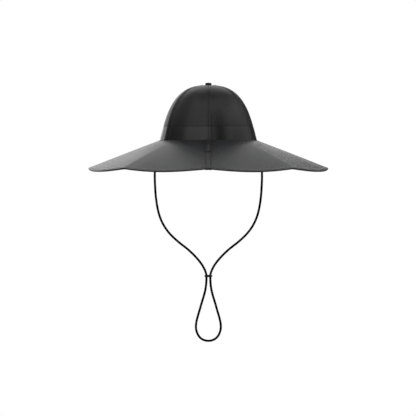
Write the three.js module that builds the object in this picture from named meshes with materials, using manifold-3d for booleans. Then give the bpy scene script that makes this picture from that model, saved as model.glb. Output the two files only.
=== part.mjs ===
// A wide brim sun hat with a chin cord, in millimetres, +Z up.
// The origin is the centre of the head opening, level with the brim's cloth there. The front faces -Y.
import * as THREE from "three";
import { mergeVertices } from "three/addons/utils/BufferGeometryUtils.js";
import Module from "manifold-3d";

// Driving dimensions: the cloth
const CLOTH_THICKNESS = 2;
const CLEARANCE = 0.3; // between neighbouring pieces

// The crown, an oval dome: its half width falls by the taper and then turns in at the shoulder
const CROWN_HALF_WIDTH = 89;
const CROWN_HALF_LENGTH = 101;
const CROWN_HEIGHT = 101.6;
const CROWN_TAPER = 0.24;
const CROWN_SHOULDER = 3.45;
const CROWN_ROUNDNESS = 2.96;
const CROWN_ROW_CROWDING = 4; // rows of points lie closer together towards the top
const CROWN_ROWS = 11;
const CROWN_COLUMNS = 12; // across one panel
const CROWN_FOOT = 2.3; // lowest height of the panels' outside
const CROWN_TOP_HOLE = 4.4; // half width of the hole under the button
const SEAM_RISE = 1; // how far a seam stands out from the panels beside it
const SEAM_SPREAD = 7; // degrees on each side of a seam

// The hat band, let in flush round the crown's foot
const BAND_FOOT = 1.8;
const BAND_TOP = 26.7;
const BAND_THICKNESS = 1;

// The button
const BUTTON_RADIUS = 5.9;
const BUTTON_TOP = 107.4;
const BUTTON_SHOULDER = 1.8; // radius of its rounded upper edge
const BUTTON_CHAMFER = 0.6; // at its base
const BUTTON_DOME = 0.4; // rise of the top inside the shoulder
const BUTTON_SIDES = 24;
const BUTTON_CURVE_STEPS = 4;

// The brim: a straight slope all round, with folds that deepen towards the edge
const BRIM_OVERHANG = 131.4;
const BRIM_ROOT = 1.2; // height of its upper side where it meets the crown
const BRIM_COLLAR = 3.3; // flat strip that the crown stands on
const BRIM_SLOPE = 21.65; // degrees
const FOLD_COUNT = 8;
const FOLD_DEPTH = 5.4; // at the edge, from crest to trough
const FOLD_FLATNESS = 0.8; // 1 gives flat facets between crisp crests, 0 gives even waves
const FOLD_STEPS = 16; // points along one fold

// The tape over the front seam, which wraps the brim's edge, and the tab on it
const TAPE_WIDTH = 11.6;
const TAPE_THICKNESS = 0.8;
const TAPE_RETURN = 9; // how far it runs back under the brim
const TAPE_START = 1.6; // out from the crown's foot
const TAPE_COLUMNS = 4;
const TAB_START = 2; // out from the crown's foot
const TAB_WIDTH = 12.4;
const TAB_LENGTH = 57;
const TAB_THICKNESS = 1;
const TAB_RIB_WIDTH = 1.6;
const TAB_RIB_HEIGHT = 0.6;

// The anchors of the chin cord, folded tabs that hang from the head seam
const ANCHOR_THICKNESS = 5;
const ANCHOR_WIDTH = 10;
const ANCHOR_SEAM_OFFSET = 0.8; // outside the crown's foot
const ANCHOR_LEAN = 3;
const ANCHOR_BOTTOM = -24;

// The chin cord: the right half of its route, from the anchor to the lowest point of the loop
const CORD_DIAMETER = 4.2;
const CORD_SIDES = 8;
const CORD_STEPS = 80;
const CORD_ROUTE = [
  { x: 95.3, z: -24.3 },
  { x: 97.2, z: -40 },
  { x: 98.6, z: -60 },
  { x: 98.1, z: -82 },
  { x: 96.5, z: -104 },
  { x: 93, z: -126 },
  { x: 88.8, z: -140.8 },
  { x: 81.9, z: -155.5 },
  { x: 71.3, z: -170.2 },
  { x: 56, z: -184.9 },
  { x: 37.5, z: -199.6 },
  { x: 22.3, z: -214.4 },
  { x: 10.9, z: -229.1 },
  { x: 4.5, z: -243 },
  { x: 3.6, z: -253 },
  { x: 5.5, z: -273.2 },
  { x: 13.7, z: -302.7 },
  { x: 21.9, z: -332.1 },
  { x: 22.9, z: -341.3 },
  { x: 22.1, z: -348.7 },
  { x: 18.3, z: -357.9 },
  { x: 13.3, z: -363.4 },
  { x: 7.2, z: -366.6 },
  { x: 0, z: -367.7 },
];

// The slider
const SLIDER_WIDTH = 15.2;
const SLIDER_HEIGHT = 4.4;
const SLIDER_DEPTH = 7.6;
const SLIDER_END_HEIGHT = 2.2;
const SLIDER_FLAT_WIDTH = 8;
const SLIDER_BEVEL = 0.7;
const SLIDER_HOLE_RADIUS = 2.5;
const SLIDER_HOLE_SIDES = 16;
const SLIDER_MIDDLE = -248.4;
const SLIDER_STRAND_OFFSET = 3.9; // from the middle to each strand of the cord

const MATERIALS = {
  crownCloth: { color: 0x2d2d2f, roughness: 0.72, metalness: 0 },
  glossBand: { color: 0x1d1d1f, roughness: 0.3, metalness: 0 },
  brimCloth: { color: 0x3a3b3e, roughness: 0.7, metalness: 0 },
  blackTape: { color: 0x222224, roughness: 0.6, metalness: 0 },
  blackCord: { color: 0x101012, roughness: 0.8, metalness: 0 },
  darkPlastic: { color: 0x2b2b2d, roughness: 0.4, metalness: 0 },
};

const wasm = await Module();
wasm.setup();

const radians = THREE.MathUtils.degToRad;

// The signed volume of an indexed geometry, positive where its faces point outwards.
function signedVolume(geometry) {
  const position = geometry.getAttribute("position");
  const corner = [new THREE.Vector3(), new THREE.Vector3(), new THREE.Vector3()];
  let volume = 0;
  for (let i = 0; i < geometry.index.count; i += 3) {
    corner.forEach((point, k) => point.fromBufferAttribute(position, geometry.index.getX(i + k)));
    volume += corner[0].dot(corner[1].clone().cross(corner[2])) / 6;
  }
  return volume;
}

// A closed wall between two grids of points with equal rows and columns.
// A ring joins its last column to its first. An open wall also gets its two side edges.
function wallBetween(outer, inner, isRing) {
  const rows = outer.length;
  const columns = outer[0].length;
  const points = [...outer.flat(), ...inner.flat()];
  const at = (side, row, column) => (side * rows + row) * columns + (column % columns);
  const index = [];
  const quad = (a, b, c, d) => index.push(a, b, c, a, c, d);
  const lastColumn = isRing ? columns : columns - 1;
  for (let column = 0; column < lastColumn; column += 1) {
    for (let row = 0; row < rows - 1; row += 1) {
      quad(at(0, row, column), at(0, row, column + 1), at(0, row + 1, column + 1), at(0, row + 1, column));
      quad(at(1, row, column), at(1, row + 1, column), at(1, row + 1, column + 1), at(1, row, column + 1));
    }
    quad(at(1, 0, column), at(1, 0, column + 1), at(0, 0, column + 1), at(0, 0, column));
    const top = rows - 1;
    quad(at(0, top, column), at(0, top, column + 1), at(1, top, column + 1), at(1, top, column));
  }
  if (!isRing) {
    const end = columns - 1;
    for (let row = 0; row < rows - 1; row += 1) {
      quad(at(1, row, 0), at(0, row, 0), at(0, row + 1, 0), at(1, row + 1, 0));
      quad(at(0, row, end), at(1, row, end), at(1, row + 1, end), at(0, row + 1, end));
    }
  }
  const geometry = new THREE.BufferGeometry().setFromPoints(points).setIndex(index);
  if (signedVolume(geometry) < 0) {
    geometry.setIndex(index.map((_, i) => index[i - (i % 3) + (2 - (i % 3))]));
  }
  geometry.computeVertexNormals();
  return geometry;
}

// The unit vectors along and off a surface at (u, v), from small steps both ways.
function directionsOn(surface, u, v) {
  const step = 1e-4;
  const alongU = surface(u + step, v).sub(surface(u - step, v)).normalize();
  const alongV = surface(u, v + step).sub(surface(u, v - step)).normalize();
  return { alongU, alongV, off: alongU.clone().cross(alongV).normalize() };
}

function offSurface(surface, u, v, distance) {
  return surface(u, v).addScaledVector(directionsOn(surface, u, v).off, distance);
}

// The crown's half width at a height: a tapering side that turns in as a superellipse does.
function crownHalfWidth(height) {
  const turn = 1 - (height / CROWN_HEIGHT) ** CROWN_SHOULDER;
  return (CROWN_HALF_WIDTH - CROWN_TAPER * height) * turn ** (1 / CROWN_ROUNDNESS);
}

// The climb runs from 0 at the foot to 1 at the top.
const heightOfClimb = (climb) => CROWN_HEIGHT * (1 - (1 - climb) ** CROWN_ROW_CROWDING);
const climbOfHeight = (height) => 1 - (1 - height / CROWN_HEIGHT) ** (1 / CROWN_ROW_CROWDING);

// Turns are measured from the front, -Y, towards +X. Panels meet where these turns lie, in degrees.
const CROWN_PANELS = [
  { name: "crown_panel_front_right", from: 0, to: 63 },
  { name: "crown_panel_side_right", from: 63, to: 117 },
  { name: "crown_panel_back_right", from: 117, to: 180 },
  { name: "crown_panel_back_left", from: 180, to: 243 },
  { name: "crown_panel_side_left", from: 243, to: 297 },
  { name: "crown_panel_front_left", from: 297, to: 360 },
];

// How far the crown stands out at a turn: a smooth ridge along each seam.
function seamRise(turn) {
  const degrees = THREE.MathUtils.radToDeg(turn);
  const away = CROWN_PANELS.map(({ from }) => Math.abs(((degrees - from + 540) % 360) - 180));
  return SEAM_RISE * (1 - THREE.MathUtils.smoothstep(Math.min(...away), 0, SEAM_SPREAD));
}

function crownSurface(turn, climb) {
  const height = heightOfClimb(climb);
  const width = crownHalfWidth(height);
  const share = width / CROWN_HALF_WIDTH;
  const rise = seamRise(turn) * share;
  const x = (width + rise) * Math.sin(turn);
  const y = -(CROWN_HALF_LENGTH * share + rise) * Math.cos(turn);
  return new THREE.Vector3(x, y, height);
}

// Columns across a panel lie closer together towards its seams.
function panelTurn(panel, column, trim) {
  const share = 0.5 - 0.5 * Math.cos((Math.PI * column) / CROWN_COLUMNS);
  const from = radians(panel.from) + trim;
  const to = radians(panel.to) - trim;
  return from + (to - from) * share;
}

const range = (count) => Array.from({ length: count }, (_, i) => i);

// One panel: set in behind the band, flush above it, and open under the button.
function crownPanel(panel) {
  const recess = -(BAND_THICKNESS + CLEARANCE);
  const bandEnd = BAND_TOP + CLEARANCE;
  const firstFree = climbOfHeight(bandEnd + CLEARANCE);
  const rows = [
    { climb: climbOfHeight(CROWN_FOOT), offset: recess },
    { climb: climbOfHeight(bandEnd), offset: recess },
  ];
  let topClimb = 1;
  while (crownHalfWidth(heightOfClimb(topClimb)) < CROWN_TOP_HOLE) topClimb -= 0.001;
  for (const i of range(CROWN_ROWS + 1)) {
    rows.push({ climb: firstFree + ((topClimb - firstFree) * i) / CROWN_ROWS, offset: 0 });
  }
  const layer = (depth) =>
    rows.map(({ climb, offset }) => {
      const trim = CLEARANCE / 2 / crownHalfWidth(heightOfClimb(climb));
      return range(CROWN_COLUMNS + 1).map((column) =>
        offSurface(crownSurface, panelTurn(panel, column, trim), climb, offset - depth),
      );
    });
  return wallBetween(layer(0), layer(CLOTH_THICKNESS), false);
}

function crownBand() {
  const heights = [BAND_FOOT, (BAND_FOOT + BAND_TOP) / 2, BAND_TOP];
  const turns = CROWN_PANELS.flatMap((panel) =>
    range(CROWN_COLUMNS).map((column) => panelTurn(panel, column, 0)),
  );
  const layer = (depth) =>
    heights.map((height) =>
      turns.map((turn) => offSurface(crownSurface, turn, climbOfHeight(height), -depth)),
    );
  return wallBetween(layer(0), layer(BAND_THICKNESS), true);
}

// The button: a turned profile with a flat base and a rounded shoulder.
function crownButton() {
  const base = CROWN_HEIGHT + CLEARANCE;
  const rim = BUTTON_TOP - BUTTON_DOME;
  const flat = BUTTON_RADIUS - BUTTON_SHOULDER;
  const profile = new THREE.Path();
  profile.moveTo(0, base);
  profile.lineTo(BUTTON_RADIUS - BUTTON_CHAMFER, base);
  profile.lineTo(BUTTON_RADIUS, base + BUTTON_CHAMFER);
  profile.lineTo(BUTTON_RADIUS, rim - BUTTON_SHOULDER);
  profile.quadraticCurveTo(BUTTON_RADIUS, rim, flat, rim);
  profile.quadraticCurveTo(flat / 2, BUTTON_TOP, 0, BUTTON_TOP);
  const geometry = new THREE.LatheGeometry(profile.getPoints(BUTTON_CURVE_STEPS), BUTTON_SIDES);
  return geometry.rotateX(Math.PI / 2);
}

// How deep the folds are at a turn, from 0 on a crest to 1 in a trough.
function foldShare(turn) {
  const width = (2 * Math.PI) / FOLD_COUNT;
  const phase = turn - width * (Math.floor(turn / width) + 0.5);
  const crest = Math.cos(width / 2);
  const facet = (Math.cos(phase) - crest) / (1 - crest);
  const wave = 0.5 + 0.5 * Math.cos(FOLD_COUNT * phase);
  return FOLD_FLATNESS * facet + (1 - FOLD_FLATNESS) * wave;
}

const EXTRA_LENGTH = CROWN_HALF_LENGTH - CROWN_HALF_WIDTH;
const BRIM_HALF_WIDTH = CROWN_HALF_WIDTH + BRIM_OVERHANG;

// The brim's upper side, by half width and by turn. It is flat inside the crown's foot.
function brimSurface(halfWidth, turn) {
  const out = Math.max(halfWidth - CROWN_HALF_WIDTH, 0);
  const fall = Math.tan(radians(BRIM_SLOPE)) + (FOLD_DEPTH / BRIM_OVERHANG) * foldShare(turn);
  const x = halfWidth * Math.sin(turn);
  const y = -(halfWidth + EXTRA_LENGTH) * Math.cos(turn);
  return new THREE.Vector3(x, y, BRIM_ROOT - out * fall);
}

function brim() {
  const halfWidths = [CROWN_HALF_WIDTH - BRIM_COLLAR, CROWN_HALF_WIDTH, BRIM_HALF_WIDTH];
  const steps = FOLD_COUNT * FOLD_STEPS;
  const layer = (depth) =>
    halfWidths.map((halfWidth) =>
      range(steps).map((i) => offSurface(brimSurface, halfWidth, (2 * Math.PI * i) / steps, -depth)),
    );
  return wallBetween(layer(0), layer(CLOTH_THICKNESS), true);
}

// The turn at which a line at x crosses the brim's front half at a half width.
const turnOfX = (x, halfWidth) => Math.asin(x / halfWidth);

// The tape runs down the front crest, round the edge and a little way back underneath.
// Each row has the half width, the side of the brim and the weights of the two directions off it.
function seamTape() {
  const rows = [
    { halfWidth: CROWN_HALF_WIDTH + TAPE_START, depth: 0, off: 1, along: 0 },
    { halfWidth: (CROWN_HALF_WIDTH + BRIM_HALF_WIDTH) / 2, depth: 0, off: 1, along: 0 },
    { halfWidth: BRIM_HALF_WIDTH, depth: 0, off: 1, along: 1 },
    { halfWidth: BRIM_HALF_WIDTH, depth: CLOTH_THICKNESS, off: -1, along: 1 },
    { halfWidth: BRIM_HALF_WIDTH - TAPE_RETURN, depth: CLOTH_THICKNESS, off: -1, along: 0 },
  ];
  const columns = range(TAPE_COLUMNS + 1).map((i) => (i / TAPE_COLUMNS - 0.5) * TAPE_WIDTH);
  const layer = (height) =>
    rows.map(({ halfWidth, depth, off, along }) =>
      columns.map((x) => {
        const turn = turnOfX(x, halfWidth);
        const directions = directionsOn(brimSurface, halfWidth, turn);
        return brimSurface(halfWidth, turn)
          .addScaledVector(directions.off, off * height - depth)
          .addScaledVector(directions.alongU, along * height);
      }),
    );
  return wallBetween(layer(CLEARANCE + TAPE_THICKNESS), layer(CLEARANCE), false);
}

// The tab lies on the tape beside the crown, with a low rib along its middle.
function seamTab() {
  const start = CROWN_HALF_WIDTH + TAB_START;
  const halfWidths = [start, start + TAB_LENGTH];
  const columns = [
    { x: -TAB_WIDTH / 2, rise: 0 },
    { x: -TAB_RIB_WIDTH, rise: 0 },
    { x: -TAB_RIB_WIDTH / 2, rise: TAB_RIB_HEIGHT },
    { x: TAB_RIB_WIDTH / 2, rise: TAB_RIB_HEIGHT },
    { x: TAB_RIB_WIDTH, rise: 0 },
    { x: TAB_WIDTH / 2, rise: 0 },
  ];
  const base = CLEARANCE + TAPE_THICKNESS + CLEARANCE;
  const layer = (height, ribShare) =>
    halfWidths.map((halfWidth) =>
      columns.map(({ x, rise }) =>
        offSurface(brimSurface, halfWidth, turnOfX(x, halfWidth), base + height + rise * ribShare),
      ),
    );
  return wallBetween(layer(TAB_THICKNESS, 1), layer(0, 0), false);
}

// One anchor, on the +X side: its upper edge follows the brim's underside and its lower end is level.
function cordAnchor() {
  const inside = CROWN_HALF_WIDTH + ANCHOR_SEAM_OFFSET;
  const slope = radians(BRIM_SLOPE);
  const wall = (CLOTH_THICKNESS + 2 * CLEARANCE) / Math.cos(slope);
  const underside = (x) => BRIM_ROOT - (x - CROWN_HALF_WIDTH) * Math.tan(slope) - wall;
  const outline = new THREE.Shape();
  outline.moveTo(inside, underside(inside));
  outline.lineTo(inside + ANCHOR_LEAN, ANCHOR_BOTTOM);
  outline.lineTo(inside + ANCHOR_LEAN + ANCHOR_THICKNESS, ANCHOR_BOTTOM);
  outline.lineTo(inside + ANCHOR_THICKNESS, underside(inside + ANCHOR_THICKNESS));
  outline.closePath();
  const geometry = new THREE.ExtrudeGeometry(outline, { depth: ANCHOR_WIDTH, bevelEnabled: false });
  return geometry.translate(0, 0, -ANCHOR_WIDTH / 2).rotateX(Math.PI / 2);
}

// The cord: a round section carried along one smooth curve through both halves of the route.
function chinCord() {
  const rightHalf = CORD_ROUTE.map(({ x, z }) => new THREE.Vector3(x, 0, z));
  const leftHalf = rightHalf
    .slice(0, -1)
    .reverse()
    .map((point) => new THREE.Vector3(-point.x, 0, point.z));
  const route = new THREE.CatmullRomCurve3([...rightHalf, ...leftHalf], false, "centripetal");
  const section = new THREE.Shape(
    range(CORD_SIDES).map((i) => {
      const angle = (2 * Math.PI * (i + 0.5)) / CORD_SIDES;
      return new THREE.Vector2(Math.cos(angle), Math.sin(angle)).multiplyScalar(CORD_DIAMETER / 2);
    }),
  );
  return new THREE.ExtrudeGeometry(section, { steps: CORD_STEPS, extrudePath: route });
}

function solidOf(geometry) {
  const bare = geometry.clone();
  bare.deleteAttribute("normal");
  bare.deleteAttribute("uv");
  const merged = mergeVertices(bare, 1e-3);
  const mesh = new wasm.Mesh({
    numProp: 3,
    vertProperties: merged.getAttribute("position").array,
    triVerts: new Uint32Array(merged.index.array),
  });
  return new wasm.Manifold(mesh);
}

function geometryOf(solid) {
  const mesh = solid.getMesh();
  return new THREE.BufferGeometry()
    .setAttribute("position", new THREE.BufferAttribute(mesh.vertProperties, 3))
    .setIndex(new THREE.BufferAttribute(mesh.triVerts, 1));
}

// The slider: a bevelled bar with tapered ends and an upright hole for each strand.
function cordSlider() {
  const end = SLIDER_WIDTH / 2 - SLIDER_BEVEL;
  const flat = SLIDER_FLAT_WIDTH / 2;
  const high = SLIDER_HEIGHT / 2 - SLIDER_BEVEL;
  const low = SLIDER_END_HEIGHT / 2 - SLIDER_BEVEL;
  const outline = new THREE.Shape();
  outline.moveTo(end, -low);
  outline.lineTo(end, low);
  outline.lineTo(flat, high);
  outline.lineTo(-flat, high);
  outline.lineTo(-end, low);
  outline.lineTo(-end, -low);
  outline.lineTo(-flat, -high);
  outline.lineTo(flat, -high);
  outline.closePath();
  const depth = SLIDER_DEPTH - 2 * SLIDER_BEVEL;
  const bar = new THREE.ExtrudeGeometry(outline, {
    depth,
    bevelSize: SLIDER_BEVEL,
    bevelThickness: SLIDER_BEVEL,
    bevelSegments: 2,
  });
  bar.translate(0, 0, -depth / 2).rotateX(Math.PI / 2);
  let solid = solidOf(bar);
  for (const side of [-1, 1]) {
    const hole = new THREE.CylinderGeometry(
      SLIDER_HOLE_RADIUS,
      SLIDER_HOLE_RADIUS,
      2 * SLIDER_HEIGHT,
      SLIDER_HOLE_SIDES,
    );
    hole.rotateX(Math.PI / 2).translate(side * SLIDER_STRAND_OFFSET, 0, 0);
    solid = solid.subtract(solidOf(hole));
  }
  return geometryOf(solid);
}

function piece(name, geometry, finish) {
  const mesh = new THREE.Mesh(geometry, new THREE.MeshStandardMaterial(MATERIALS[finish]));
  mesh.name = name;
  return mesh;
}

const crown = new THREE.Group();
CROWN_PANELS.forEach((panel) => crown.add(piece(panel.name, crownPanel(panel), "crownCloth")));
crown.add(piece("crown_band", crownBand(), "glossBand"));
crown.add(piece("crown_button", crownButton(), "blackTape"));

const brimGroup = new THREE.Group();
brimGroup.add(piece("brim", brim(), "brimCloth"));
brimGroup.add(piece("brim_seam_tape", seamTape(), "blackTape"));
brimGroup.add(piece("brim_tab", seamTab(), "blackTape"));

const chinStrap = new THREE.Group();
const anchorRight = piece("cord_anchor_right", cordAnchor(), "blackTape");
const anchorLeft = piece("cord_anchor_left", cordAnchor(), "blackTape");
anchorLeft.rotation.z = Math.PI;
const slider = piece("cord_slider", cordSlider(), "darkPlastic");
slider.position.z = SLIDER_MIDDLE;
chinStrap.add(anchorRight, anchorLeft, piece("chin_cord", chinCord(), "blackCord"), slider);

const hat = new THREE.Group();
hat.add(crown, brimGroup, chinStrap);

export default hat;
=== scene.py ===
import math

import bpy
import numpy as np
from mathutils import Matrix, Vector


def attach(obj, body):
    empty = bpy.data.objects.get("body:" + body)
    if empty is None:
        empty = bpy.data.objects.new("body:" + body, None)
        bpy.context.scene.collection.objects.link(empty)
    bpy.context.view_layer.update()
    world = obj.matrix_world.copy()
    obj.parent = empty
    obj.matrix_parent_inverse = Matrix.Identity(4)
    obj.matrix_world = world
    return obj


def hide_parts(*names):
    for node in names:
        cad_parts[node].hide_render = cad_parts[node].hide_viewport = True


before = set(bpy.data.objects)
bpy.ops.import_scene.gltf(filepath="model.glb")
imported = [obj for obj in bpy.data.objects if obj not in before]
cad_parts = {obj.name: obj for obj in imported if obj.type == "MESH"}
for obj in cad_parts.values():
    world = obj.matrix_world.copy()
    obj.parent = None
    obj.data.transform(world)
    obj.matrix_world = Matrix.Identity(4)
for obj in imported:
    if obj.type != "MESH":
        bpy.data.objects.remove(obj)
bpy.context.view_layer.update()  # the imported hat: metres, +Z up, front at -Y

print("frame loaded:", len(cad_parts), "nodes")

tau = 2 * math.pi

# The camera stands level with the brim's edge and far off, so that the view is nearly parallel.
photo = dict(
    fieldWidth=0.7654,  # metres across the picture, 416 pixels of 1.84 mm
    lens=600.0,
    sensor=36.0,
    clipShare=4,  # how far the camera sees, counted in its distance from the hat
    middleX=-0.0007,
    middleZ=-0.1233,
    eyeZ=-0.052,
)


def addObject(name, data):
    # An object in the scene, at the origin.
    thing = bpy.data.objects.new(name, data)
    bpy.context.scene.collection.objects.link(thing)
    return thing


def placeCamera():
    camera = addObject("photoCamera", bpy.data.cameras.new("photoCamera"))
    camera.data.lens = photo["lens"]
    camera.data.sensor_width = photo["sensor"]
    distance = photo["fieldWidth"] * photo["lens"] / photo["sensor"]
    target = Vector((photo["middleX"], 0, photo["middleZ"]))
    camera.location = (photo["middleX"], -distance, photo["eyeZ"])
    camera.rotation_euler = (target - camera.location).to_track_quat("-Z", "Y").to_euler()
    camera.data.clip_end = photo["clipShare"] * distance
    bpy.context.scene.camera = camera


placeCamera()
print("camera placed")


# Mesh tools: every piece is one grid of points, or several, put into a mesh as whole arrays.

def gridQuads(rows, columns, closedRows=False, closedColumns=False):
    # Corner numbers of each cell of a grid. A closed direction joins its last line to its first.
    r = np.arange(rows if closedRows else rows - 1)
    c = np.arange(columns if closedColumns else columns - 1)
    r, c = np.meshgrid(r, c, indexing="ij")
    nextR = (r + 1) % rows
    nextC = (c + 1) % columns
    corners = [r * columns + c, r * columns + nextC, nextR * columns + nextC, nextR * columns + c]
    return np.stack(corners, axis=-1).reshape(-1, 4)


def gridMap(mapGrid):
    # The map coordinates of each cell's four corners, from a grid with one line more than the cells.
    corners = [mapGrid[:-1, :-1], mapGrid[:-1, 1:], mapGrid[1:, 1:], mapGrid[1:, :-1]]
    return np.stack(corners, axis=2).reshape(-1, 2)


sharpAngle = 50.0  # degrees between two faces from which their edge is drawn sharp


def putMesh(name, grid, quads, caps=(), cornerMap=None, marks=None):
    # grid (..., 3) of points, quads (m, 4), caps a list of corner lists, marks a dictionary of values
    mesh = bpy.data.meshes.new(name)
    loops = np.concatenate([quads.ravel(), *caps]).astype(np.int32)
    sizes = np.concatenate([np.full(len(quads), 4), np.array([len(cap) for cap in caps], int)])
    starts = np.concatenate([[0], np.cumsum(sizes)[:-1]]).astype(np.int32)
    mesh.vertices.add(grid.size // 3)
    mesh.vertices.foreach_set("co", grid.astype(np.float32).ravel())
    mesh.loops.add(len(loops))
    mesh.loops.foreach_set("vertex_index", loops)
    mesh.polygons.add(len(sizes))
    mesh.polygons.foreach_set("loop_start", starts)
    mesh.polygons.foreach_set("use_smooth", np.ones(len(sizes), bool))
    if cornerMap is not None:
        values = np.zeros((len(loops), 2), np.float32)
        values[:len(cornerMap)] = cornerMap
        mesh.uv_layers.new(name="clothMap").data.foreach_set("uv", values.ravel())
    for title, values in (marks or {}).items():
        values = np.broadcast_to(values, grid.shape[:-1]).astype(np.float32)
        mesh.attributes.new(title, "FLOAT", "POINT").data.foreach_set("value", values.ravel())
    mesh.update(calc_edges=True)
    mesh.validate()
    mesh.set_sharp_from_angle(angle=math.radians(sharpAngle))
    return addObject(name, mesh)


def seat(piece, node=None):
    # Every piece rides on the hat's one body; node is the solid that it stands for.
    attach(piece, "root")
    if node:
        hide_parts(node)
    return piece


def gridOf(*parts):
    # One grid of points or values from its parts, each stretched to the size of all.
    return np.stack(np.broadcast_arrays(*parts), axis=-1)


def closeGrid(grid, axis):
    # The grid with its first line once more at its end.
    return np.concatenate([grid, np.take(grid, [0], axis)], axis)


def ringOf(count):
    # Equal turns all round, in radians.
    return tau * np.arange(count) / count


def unit(vectors):
    # Each vector divided by its own length.
    return vectors / np.maximum(np.linalg.norm(vectors, axis=-1, keepdims=True), 1e-12)


def putWall(name, outer, inner, mapGrid, ring, marks):
    # A closed wall: the outer rows and then the inner rows backwards, as one loop round the edge.
    # mapGrid has the map coordinates of the outer grid, with one column more on a ring.
    rows, columns = outer.shape[:2]
    quads = gridQuads(2 * rows, columns, closedRows=True, closedColumns=ring)
    loopMap = closeGrid(np.concatenate([mapGrid, mapGrid[::-1]]), 0)
    cornerMap = gridMap(loopMap)
    if not ring:
        near = np.arange(rows)
        far = 2 * rows - 1 - near
        for column, a, b in ((0, far, near), (columns - 1, near, far)):
            side = np.stack([a[1:], b[1:], b[:-1], a[:-1]], axis=-1)
            quads = np.concatenate([quads, side * columns + column])
            cornerMap = np.concatenate([cornerMap, loopMap[side, column].reshape(-1, 2)])
    marks = {title: np.concatenate([value, value[::-1]]) for title, value in marks.items()}
    return putMesh(name, np.concatenate([outer, inner[::-1]]), quads, cornerMap=cornerMap, marks=marks)


def putSweep(name, rings, mapGrid, marks=None):
    # A closed section carried along a path: rings (rows, columns, 3), with a flat cap at each end.
    rows, columns = rings.shape[:2]
    quads = gridQuads(rows, columns, closedColumns=True)
    caps = [np.arange(columns)[::-1], (rows - 1) * columns + np.arange(columns)]
    return putMesh(name, rings, quads, caps, gridMap(mapGrid), marks)


def smoothStep(low, high, value):
    # Rises from 0 at low to 1 at high: share * share * (3 - 2 * share).
    share = np.clip((value - low) / (high - low), 0, 1)
    return share * share * (3 - 2 * share)


def hollow(distance, width):
    # A bell that is 1 in the middle: e to the power of -(distance / width) squared.
    return np.exp(-(distance / width) ** 2)


def bell(distance, size):
    # Height * the bell of that width; size holds the height in the middle and the width.
    height, width = size
    return height * hollow(distance, width)


def walkedAlong(path):
    # The distance walked to each point of a path, as the sum of its steps.
    return np.concatenate([[0], np.cumsum(np.linalg.norm(np.diff(path, axis=0), axis=-1))])


def readAlong(grid, walked, marks):
    # The values (n, 3) of a path at the marks, by straight lines between its points.
    return np.stack([np.interp(marks, walked, grid[:, k]) for k in range(3)], axis=1)


# Sewing thread: each stitch is a short round bar. The straps are sewn with a finer thread.
thread = dict(length=0.0027, pitch=0.0034, radius=0.0002, steps=5, sides=5, slimming=1.8, bow=2.2)
strapThread = dict(thread, length=0.0024, pitch=0.003, radius=0.00018)


def stitchRow(line, normals, kind):
    # Middles, directions and normals of the stitches at equal distances along a line of points.
    walked = walkedAlong(line)
    marks = (np.arange(int(walked[-1] / kind["pitch"])) + 0.5) * kind["pitch"]
    grids = (line, normals, np.gradient(line, axis=0))
    middle, normal, along = (readAlong(grid, walked, marks) for grid in grids)
    along = unit(along)
    return middle, along, unit(normal - along * np.sum(normal * along, axis=1, keepdims=True))


def putStitches(name, rows, kind):
    # Each thread bows up off the cloth and dives in at its ends. Point = middle + along * length * t
    # + off * radius * (bow * (1 - 4 t t) - 1) + section, with t from -1/2 to 1/2.
    middle, along, off = (np.concatenate(part)[:, None, None] for part in zip(*rows))
    steps, sides = kind["steps"], kind["sides"]
    t = np.linspace(-0.5, 0.5, steps)[:, None, None]
    angle = ringOf(sides)[:, None]
    rise = kind["radius"] * (kind["bow"] * (1 - 4 * t ** 2) - 1)
    slim = kind["radius"] * np.sqrt(1 - (kind["slimming"] * t) ** 2)
    points = (middle + along * (kind["length"] * t) + off * rise
              + np.cross(off, along) * (slim * np.cos(angle)) + off * (slim * np.sin(angle)))
    first = np.arange(len(middle))[:, None] * steps * sides
    quads = (gridQuads(steps, sides, closedColumns=True)[None] + first[:, :, None]).reshape(-1, 4)
    caps = list(first + np.arange(sides)[::-1]) + list(first + (steps - 1) * sides + np.arange(sides))
    return seat(putMesh(name, points, quads, caps))


# The chin cord: the same route as its solid, the right half from its anchor to the lowest point.
chinCord = dict(
    diameter=0.0042,
    sides=20,
    step=0.001,
    spanSteps=24,  # points from one route point to the next before they are spaced evenly
    length=0.784,
    tuck=0.002,  # how far each end goes into its anchor
    route=[
        (0.0953, -0.0243), (0.0972, -0.040), (0.0986, -0.060), (0.0981, -0.082), (0.0965, -0.104),
        (0.093, -0.126), (0.0888, -0.1408), (0.0819, -0.1555), (0.0713, -0.1702), (0.056, -0.1849),
        (0.0375, -0.1996), (0.0223, -0.2144), (0.0109, -0.2291), (0.0045, -0.243), (0.0036, -0.253),
        (0.0055, -0.2732), (0.0137, -0.3027), (0.0219, -0.3321), (0.0229, -0.3413), (0.0221, -0.3487),
        (0.0183, -0.3579), (0.0133, -0.3634), (0.0072, -0.3666), (0.0, -0.3677),
    ],
)


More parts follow.
